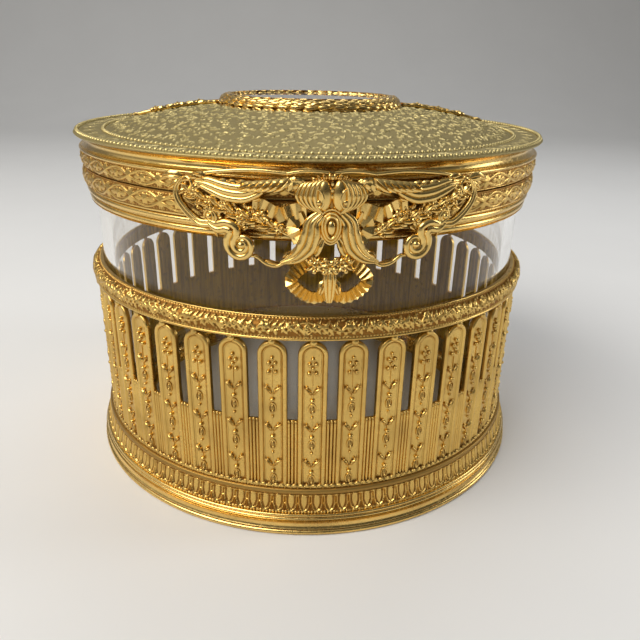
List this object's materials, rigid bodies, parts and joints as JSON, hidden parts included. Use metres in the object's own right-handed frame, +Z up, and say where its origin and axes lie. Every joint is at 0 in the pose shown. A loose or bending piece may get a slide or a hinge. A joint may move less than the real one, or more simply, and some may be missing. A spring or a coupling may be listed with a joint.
{
  "type": "glass casket box",
  "caption": "Round glass casket for papers and keepsakes: clear cup in a pierced gilt gallery, hinged domed lid with a cast openwork front mount.",
  "frame": {"origin": "centre of the foot, on the surface that it stands on", "axes": "+Z up along the axis of the cup, -Y towards the front mount, +Y towards the hinge"},
  "size_m": [0.15, 0.1524, 0.1136],
  "materials": {
    "gilt_brass": "satin gilding, matt in the hollows",
    "matt_gilt": "stamped foliage, matt olive gold",
    "polished_gilt": "burnished gilding",
    "cast_gilt": "chased and burnished castings",
    "clear_glass": "clear, polished",
    "plaque_enamel": "plain cream enamel",
    "hinge_brass": "satin, a little worn"
  },
  "bodies": {
    "casket": {"foot_ring": "polished_gilt", "leaf_frieze": "gilt_brass", "fillet_ring": "gilt_brass", "gallery": "gilt_brass", "gallery_band": "gilt_brass", "glass_cup": "clear_glass", "collar": "polished_gilt", "collar_frieze": "gilt_brass", "hinge_leaf_body": "hinge_brass", "hinge_pin": "hinge_brass", "hinge_rivets_body": "hinge_brass"},
    "lid": {"lid_plate": "matt_gilt", "rim_beading": "gilt_brass", "inner_beading": "gilt_brass", "lid_cove": "polished_gilt", "lid_bead": "polished_gilt", "lid_frieze": "gilt_brass", "medallion_frame": "cast_gilt", "medallion_plaque": "plaque_enamel", "medallion_glass": "clear_glass", "dome_spray_left": "cast_gilt", "dome_spray_right": "cast_gilt", "mount_centre": "cast_gilt", "mount_garland_left": "cast_gilt", "mount_garland_right": "cast_gilt", "mount_pendant": "cast_gilt", "mount_nuts": "hinge_brass", "hinge_leaf_lid": "hinge_brass", "hinge_rivets_lid": "hinge_brass"}
  },
  "joints": [
    {"name": "lid_hinge", "type": "hinge", "parent": "casket", "child": "lid", "pos_m": [0, 0.0748, 0.0943], "axis": [-1, 0, 0], "range_deg": [0, 95]}
  ]
}
